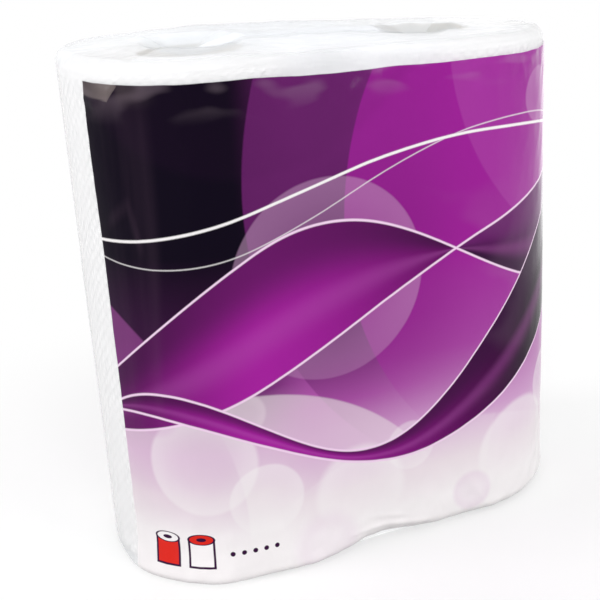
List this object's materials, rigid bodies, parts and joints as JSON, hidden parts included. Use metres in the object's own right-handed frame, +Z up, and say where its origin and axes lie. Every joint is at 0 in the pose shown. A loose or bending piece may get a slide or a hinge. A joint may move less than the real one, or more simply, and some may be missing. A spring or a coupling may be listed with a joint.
{
  "type": "pack of paper towel rolls",
  "caption": "Kitchen paper towel rolls on cardboard cores, side by side in a printed plastic film wrap with folded and welded ends, dimpled over each core.",
  "frame": {"origin": "middle of the foot, midway between the rolls", "axes": "+Z up along the rolls' axes, +X towards the right-hand roll, -Y towards the printed front"},
  "size_m": [0.2236, 0.113, 0.2262],
  "materials": {
    "film": "gloss printed film",
    "paper": "embossed tissue",
    "core": "grey-brown board"
  },
  "bodies": {
    "root": {"film_wrap": "film", "paper_roll_left": "paper", "paper_roll_right": "paper", "core_tube_left": "core", "core_tube_right": "core"}
  },
  "joints": []
}
